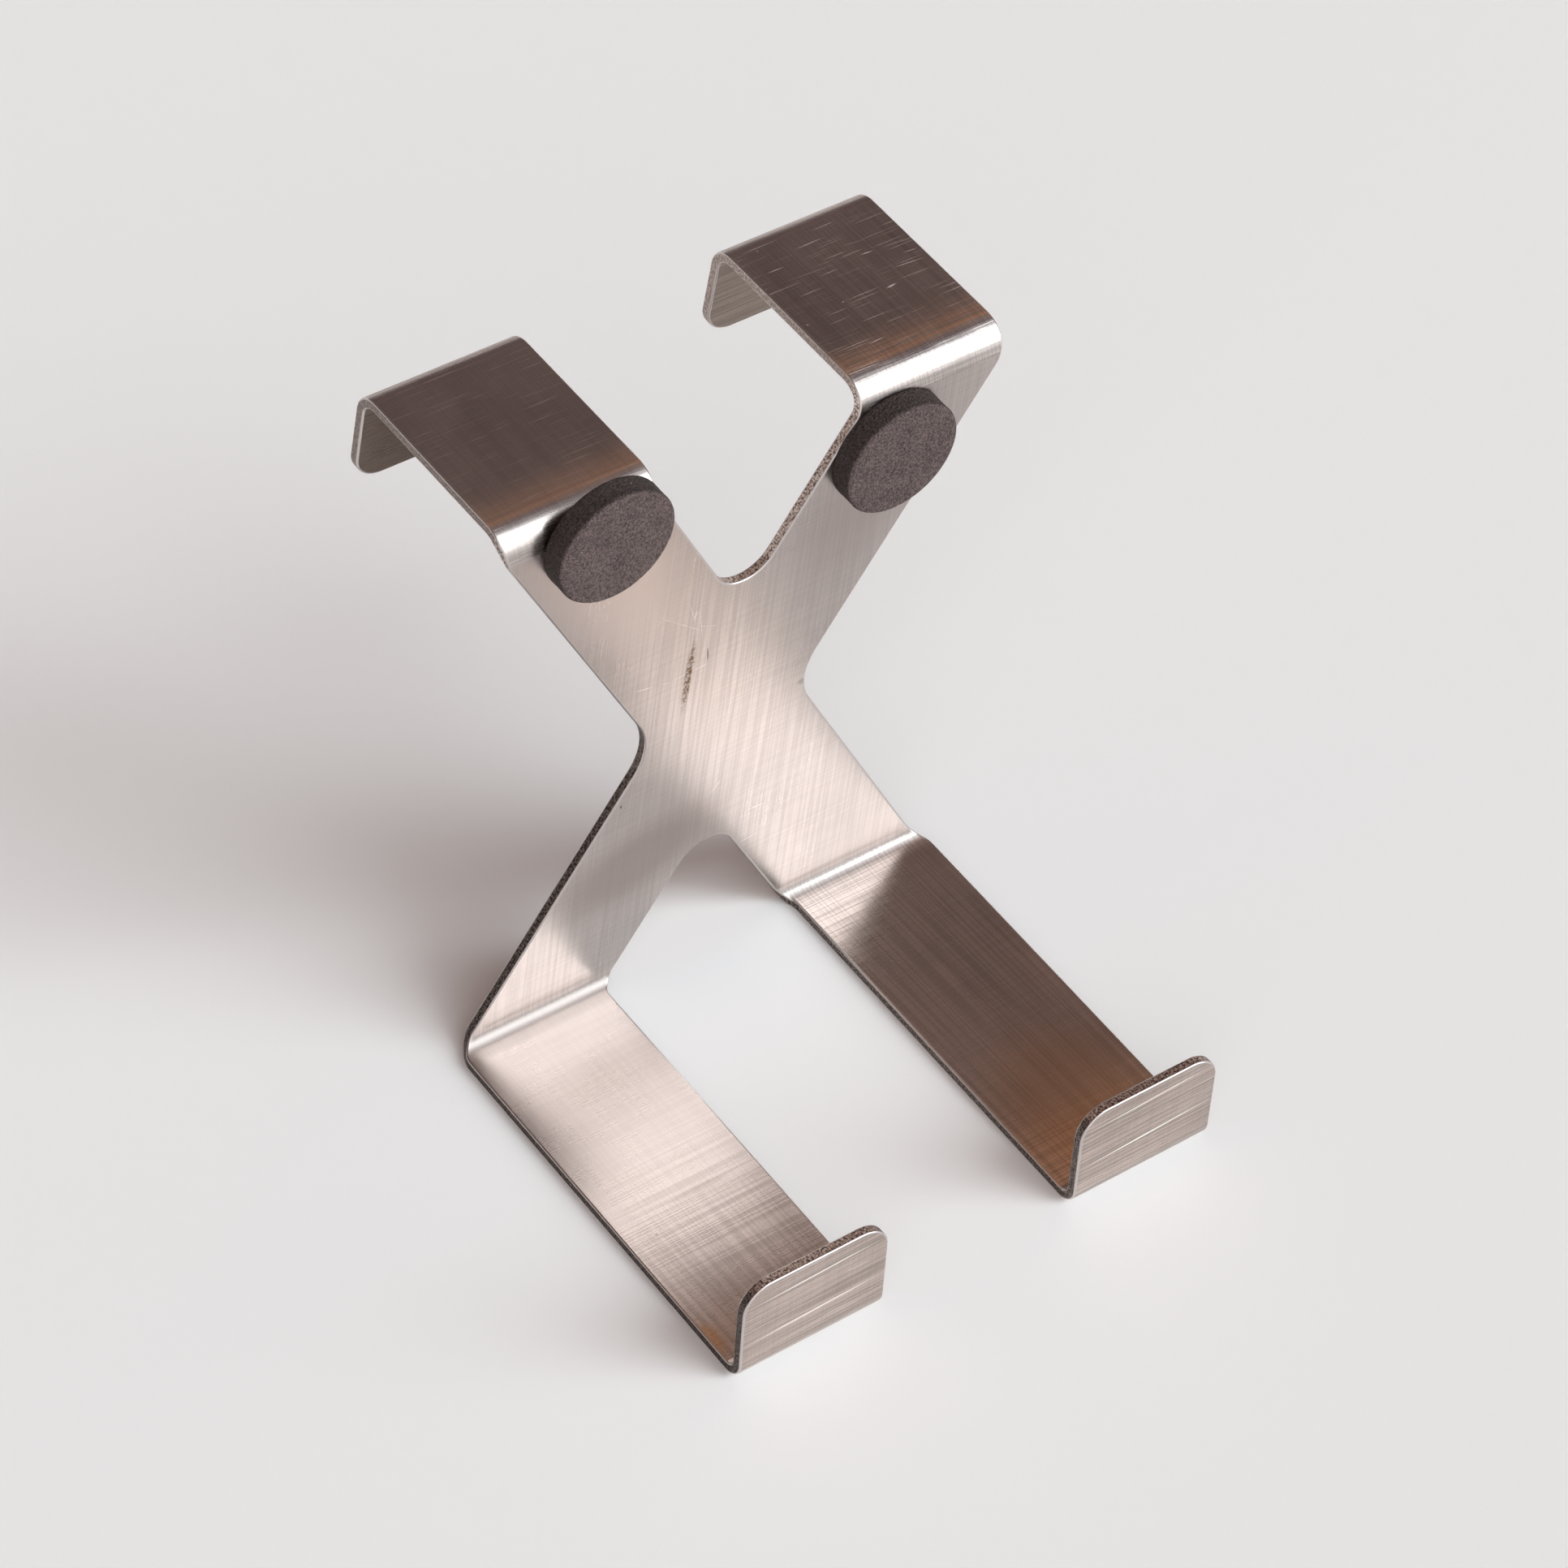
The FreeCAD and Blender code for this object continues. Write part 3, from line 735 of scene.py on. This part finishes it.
def rim_steel():
    """The sheared edge: shiny along both faces, torn and speckled between, smoother on the short hooks."""
    material, tree, shader = new_material("rim_steel")
    flat = add(tree, "ShaderNodeUVMap", uv_map="flat").outputs[0]
    depth = add(tree, "ShaderNodeSeparateXYZ", {0: flat}).outputs[1]
    place = add(tree, "ShaderNodeSeparateXYZ", {0: add(tree, "ShaderNodeTexCoord").outputs["Object"]})
    across, back, height = place.outputs
    tear = grain(tree, flat, 4.0, 1.0, 2.0, 0.7)
    specks = grain(tree, flat, 4.2, 4.2, 3.0, 0.75, 0, 4.4)
    torn = fade(tree, calc(tree, "ABSOLUTE", depth), 0.040, 0.030)
    tone = fade(tree, specks, 0.36, 0.64, 0.20, 1.80)
    tone = calc(tree, "MULTIPLY", tone, fade(tree, tear, 0.35, 0.65, 0.75, 1.2))
    # Behind the plate, on the short hooks, the speckle is weaker and the edge darker
    calm = fade(tree, back, 0.0105, 0.0125)
    speckle = calc(tree, "MULTIPLY", calc(tree, "SUBTRACT", tone, 1.0), fade(tree, calm, 0.0, 1.0, 1.0, 0.3))
    tone = calc(tree, "ADD", speckle, fade(tree, calm, 0.0, 1.0, 1.0, 0.65))
    color = scaled(tree, RIM, tone)

    normal = add(tree, "ShaderNodeNewGeometry").outputs["True Normal"]
    up = calc(tree, "ABSOLUTE", add(tree, "ShaderNodeSeparateXYZ", {0: normal}).outputs[2])
    # Painted shade and painted light: edges that face sideways are darker low down and on the left; edges
    # that face up are brighter
    painted_side_shade = fade(tree, height, 0.030, 0.046, 0.40, 1.5)
    painted_left_shade = fade(tree, across, -0.004, -0.014, 0.0, 0.35)
    painted_side_shade = calc(tree, "MULTIPLY", painted_side_shade, calc(tree, "SUBTRACT", 1.0, painted_left_shade))
    painted_top_light = fade(tree, height, 0.015, 0.040, 1.25, 1.9)
    topmost = fade(tree, up, 0.6, 0.95)
    shade = calc(tree, "ADD", calc(tree, "MULTIPLY", painted_side_shade, calc(tree, "SUBTRACT", 1.0, topmost)),
                 calc(tree, "MULTIPLY", topmost, painted_top_light))
    color = add(tree, "ShaderNodeVectorMath", {0: scaled(tree, color, shade), 1: RIM_BRIGHTEST},
                operation="MINIMUM").outputs[0]
    color = blend_color(tree, torn, RIM_BORDER, color)
    tree.links.new(color, shader.inputs["Base Color"])
    tree.links.new(fade(tree, torn, 0.0, 1.0, 0.28, 0.40), shader.inputs["Roughness"])
    relief = calc(tree, "ADD", calc(tree, "MULTIPLY", tear, 0.7), specks)
    bump = add(tree, "ShaderNodeBump", {"Strength": fade(tree, torn, 0, 1, 0.1, 0.8), "Distance": 0.00006,
               "Height": relief})
    tree.links.new(bump.outputs[0], shader.inputs["Normal"])
    shader.inputs["Metallic"].default_value = 1.0
    return material


def foam(name, seed, coarse):
    """Dark foam rubber: fine open cells, greyer on the flat face, with a few pale flecks.

    seed: moves the flecks. coarse: how deep the large cells are.
    """
    material, tree, shader = new_material(name)
    where = add(tree, "ShaderNodeTexCoord").outputs["Object"]
    cells = add(tree, "ShaderNodeTexVoronoi", {"Vector": where, "Scale": 4200.0, "Randomness": 1.0},
                feature="F1")
    fine = add(tree, "ShaderNodeTexNoise", {"Vector": where, "Scale": 4800.0, "Detail": 2.0,
               "Roughness": 0.8})
    broad = add(tree, "ShaderNodeTexNoise", {"Vector": where, "Scale": 500.0, "Detail": 3.0})
    normal = add(tree, "ShaderNodeNewGeometry").outputs["True Normal"]
    facing = add(tree, "ShaderNodeSeparateXYZ", {0: normal}).outputs[1]
    face = fade(tree, facing, -0.5, -0.9)
    tone = calc(tree, "ADD", fade(tree, fine.outputs[0], 0.36, 0.64, 0.50, 1.50),
                fade(tree, broad.outputs[0], 0.3, 0.7, -0.10, 0.10))
    color = scaled(tree, blend_color(tree, face, FOAM_EDGE, FOAM_FACE), tone)
    spots = add(tree, "ShaderNodeTexVoronoi", {"Vector": where, "Scale": 1900.0 + seed, "Randomness": 1.0},
                feature="F1")
    pick = add(tree, "ShaderNodeSeparateColor", {0: spots.outputs["Color"]})
    fleck = calc(tree, "MULTIPLY", fade(tree, spots.outputs["Distance"], 0.16, 0.06),
                 calc(tree, "GREATER_THAN", pick.outputs[0], 0.955))
    color = blend_color(tree, calc(tree, "MULTIPLY", fleck, 0.9), color, FLECK)
    height = calc(tree, "ADD", calc(tree, "MULTIPLY", cells.outputs["Distance"], coarse),
                  calc(tree, "MULTIPLY", fine.outputs[0], 0.6))
    bump = add(tree, "ShaderNodeBump", {"Strength": 1.0, "Distance": 0.00012, "Height": height})
    tree.links.new(color, shader.inputs["Base Color"])
    tree.links.new(bump.outputs[0], shader.inputs["Normal"])
    shader.inputs["Roughness"].default_value = 0.85
    shader.inputs["Specular IOR Level"].default_value = 0.35
    return material


# The number of a pad's sides
PAD_SIDES = 160
# Depth of the pits in a pad's cut edge and in its face, in millimetres
EDGE_PITS, FACE_PITS = 0.008, 0.004
# How far a pad's outline waves, as a share of its radius
OUTLINE_WAVES = 0.02


def make_pad(name, place, material, seed):
    """A foam disc stuck to the plate: rounded cut edge, slightly uneven outline."""
    rng = np.random.default_rng(seed)
    radius, around = PAD_ACROSS / 2, PAD_SIDES
    # Out from the middle and up from the plate, in shares of the radius and of the thickness
    profile = [(0.0, 1.0)]
    profile += [(share, 1.0) for share in np.linspace(0.06, 0.93, 22)]
    profile += [(1 - 0.06 * (1 - math.sin(angle)), 1 - 0.13 * (1 - math.cos(angle)))
                for angle in np.linspace(0.2, 1.5, 6)]
    profile += [(1.0 - 0.004 * math.sin(math.pi * h), h) for h in np.linspace(0.8, 0.06, 10)]
    profile += [(0.992, 0.0)]
    waves = [(k, rng.uniform(-1, 1) * OUTLINE_WAVES / k, rng.uniform(0, 6.28)) for k in range(2, 14)]
    places, faces = [], []
    for out, up in profile[1:]:
        for step in range(around):
            angle = 2 * math.pi * step / around
            wobble = sum(size * math.cos(k * angle + phase) for k, size, phase in waves)
            pit = abs(rng.normal(0, EDGE_PITS if out > 0.9 and 0 < up < 1 else FACE_PITS))
            reach = radius * min(1.0, out * (1 - 0.004 + wobble * 0.25 * out)) - pit
            places.append((place[0] + reach * math.cos(angle),
                           PLATE_FRONT - max(0.0, up * PAD_THICK - pit * (up > 0)),
                           place[1] + reach * math.sin(angle)))
    centre = len(places)
    places.append((place[0], PLATE_FRONT - PAD_THICK, place[1]))
    bottom = len(places)
    places.append((place[0], PLATE_FRONT, place[1]))
    rows = len(profile) - 1
    for step in range(around):
        after = (step + 1) % around
        faces.append((centre, step, after))
        faces.append((bottom, (rows - 1) * around + after, (rows - 1) * around + step))
        for row in range(rows - 1):
            near, far = row * around, (row + 1) * around
            faces.append((near + step, far + step, far + after, near + after))
    mesh = bpy.data.meshes.new(f"{name}_foam")
    mesh.from_pydata([tuple(c * MM for c in p) for p in places], [], faces)
    mesh.polygons.foreach_set("use_smooth", [True] * len(faces))
    mesh.materials.append(material)
    piece = bpy.data.objects.new(f"{name}_foam", mesh)
    bpy.context.scene.collection.objects.link(piece)
    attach(piece, "root")
    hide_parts(name)
    return piece


# Studio

def seen_directly(tree):
    """1 for what the camera sees, directly, in metal or through glass."""
    path = add(tree, "ShaderNodeLightPath")
    either = calc(tree, "MAXIMUM", path.outputs["Is Camera Ray"], path.outputs["Is Glossy Ray"])
    return calc(tree, "MAXIMUM", either, path.outputs["Is Transmission Ray"])


# The floor's disc and the low wall around it, in metres, their number of sides and their tones
FLOOR_RADIUS, WALL_HEIGHT, FLOOR_SIDES = 4.0, 0.5, 96
FLOOR_TONE, WALL_GLOW = 0.94, 0.93


def make_floor():
    """A pale disc, and a low pale wall around it far outside the object."""
    bend = WALL_HEIGHT / 2
    profile = [(0.0, 0.0), (0.1, 0.0), (1.0, 0.0), (FLOOR_RADIUS, 0.0)]
    profile += [(FLOOR_RADIUS + bend * math.sin(angle), bend * (1 - math.cos(angle)))
                for angle in np.linspace(0.1, math.pi / 2, 12)]
    profile += [(FLOOR_RADIUS + bend, WALL_HEIGHT)]
    ways = [(math.cos(angle), math.sin(angle))
            for angle in (2 * math.pi * k / FLOOR_SIDES for k in range(FLOOR_SIDES))]
    places = [(0, 0, 0)] + [(out * x, out * y, up) for out, up in profile[1:] for x, y in ways]
    floor_faces, wall_faces = [], []
    for k in range(FLOOR_SIDES):
        after = (k + 1) % FLOOR_SIDES
        floor_faces.append((0, 1 + k, 1 + after))
        for row in range(len(profile) - 2):
            near, far = 1 + row * FLOOR_SIDES, 1 + (row + 1) * FLOOR_SIDES
            (floor_faces if row < 2 else wall_faces).append((near + k, far + k, far + after, near + after))
    for name, faces in (("floor", floor_faces), ("low_wall", wall_faces)):
        mesh = bpy.data.meshes.new(name)
        mesh.from_pydata(places, [], faces)
        mesh.polygons.foreach_set("use_smooth", [True] * len(faces))
        item = bpy.data.objects.new(name, mesh)
        bpy.context.scene.collection.objects.link(item)
        material, tree, shader = new_material(name)
        shader.inputs["Base Color"].default_value = (FLOOR_TONE, FLOOR_TONE, FLOOR_TONE, 1)
        shader.inputs["Roughness"].default_value = 0.9
        shader.inputs["Specular IOR Level"].default_value = 0.1
        if name == "low_wall":
            glow = add(tree, "ShaderNodeEmission", {"Color": (WALL_GLOW, WALL_GLOW, WALL_GLOW, 1)})
            mix = add(tree, "ShaderNodeMixShader", {0: seen_directly(tree), 1: shader.outputs[0],
                      2: glow.outputs[0]})
            tree.links.new(mix.outputs[0], tree.nodes["Material Output"].inputs["Surface"])
        mesh.materials.append(material)


# Where the room's bright front part ends, and where the dim part behind it begins
FRONT_END, DIM_START = -0.47, -0.36
# The room by depth, from -1 in front of the trays to +1 behind: place, colour
SKY = [
    (-1.00, (1.5, 1.5, 1.5)),
    (-0.84, (1.8, 1.8, 1.8)),
    (-0.66, (6.0, 6.45, 6.65)),
    (FRONT_END, (6.0, 6.45, 6.65)),
    (DIM_START, (0.15, 0.11, 0.12)),
    (0.10, (0.12, 0.088, 0.095)),
    (0.18, (0.56, 0.29, 0.16)),
    (0.34, (0.44, 0.24, 0.145)),
    (0.40, (0.21, 0.145, 0.120)),
    (0.46, (0.150, 0.118, 0.116)),
    (0.54, (0.132, 0.106, 0.108)),
    (1.00, (0.135, 0.098, 0.104)),
]
# What takes the place of the bright part to the left of this span of sideways directions
LEFT_EDGE = (0.02, 0.30)
LEFT_COLOR = (1.30, 1.29, 1.28, 1)


def make_world():
    """A room that is bright in front of the object on the right, and dim behind and above it."""
    world = bpy.data.worlds.new("studio")
    world.use_nodes = True
    tree = world.node_tree
    way = add(tree, "ShaderNodeTexCoord").outputs["Generated"]
    split = add(tree, "ShaderNodeSeparateXYZ", {0: way})
    across, depth = split.outputs[0], split.outputs[1]
    share = calc(tree, "MULTIPLY_ADD", depth, 0.5, 0.5)
    ramp = add(tree, "ShaderNodeValToRGB", {0: share})
    stops = ramp.color_ramp
    stops.interpolation = "EASE"
    top = max(max(color) for _, color in SKY)
    while len(stops.elements) < len(SKY):
        stops.elements.new(0.5)
    for stop, (where, color) in zip(stops.elements, SKY):
        stop.position = where * 0.5 + 0.5
        stop.color = (*[c / top for c in color], 1)
    room = scaled(tree, ramp.outputs[0], top)
    front = fade(tree, depth, DIM_START, FRONT_END)
    side = calc(tree, "MULTIPLY", front, fade(tree, across, LEFT_EDGE[1], LEFT_EDGE[0]))
    room = blend_color(tree, side, room, LEFT_COLOR)
    tree.links.new(room, tree.nodes["Background"].inputs["Color"])
    bpy.context.scene.world = world


def make_camera():
    """The camera where the photograph was taken from."""
    right, up, back = camera_axes()
    data = bpy.data.cameras.new("camera")
    data.lens = FOCAL_PIXELS / PHOTO * data.sensor_width
    item = bpy.data.objects.new("camera", data)
    bpy.context.scene.collection.objects.link(item)
    turn = Matrix((right, up, back)).transposed().to_4x4()
    item.matrix_world = Matrix.Translation(camera_place() * MM) @ turn
    bpy.context.scene.camera = item


hook = make_hook()
for surface in (
    steel("plate_steel", STEEL, turn=0, anisotropy=0.4, roughness=0.30, cross=0.5, contrast=0.052,
          streaks=0.12, scratches=PLATE_SCRATCHES, where=on_plate, extra=plate_marks_and_painted_shading),
    steel("tray_steel", BRIGHTENED_TRAY_STEEL, turn=90, anisotropy=0.2, roughness=0.27, cross=1.0, contrast=0.12,
          relief=0.0, strength=tray_strength, extra=tray_marks_and_painted_reflection),
    steel("shelf_steel", STEEL, turn=90, anisotropy=0.4, roughness=0.27, cross=0.5, contrast=0.17,
          streaks=0.8, strength=shelf_strength, scratches=SHELF_SCRATCHES, where=on_shelf),
    steel("lip_steel", WARM_STEEL, turn=90, anisotropy=0.5, roughness=0.30, cross=0.15, contrast=0.18,
          streaks=0.5, scratches=LIP_SCRATCHES, where=on_long_lip, extra=shade_lip_insides),
    rim_steel(),
):
    hook.data.materials.append(surface)
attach(hook, "root")
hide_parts("double_hook")
make_pad("left_pad", PADS["left_pad"], foam("left_foam", 0.0, 0.5), 3)
make_pad("right_pad", PADS["right_pad"], foam("right_foam", 170.0, 1.0), 8)
make_floor()
make_world()
make_camera()
bpy.context.scene.view_settings.view_transform = "Standard"
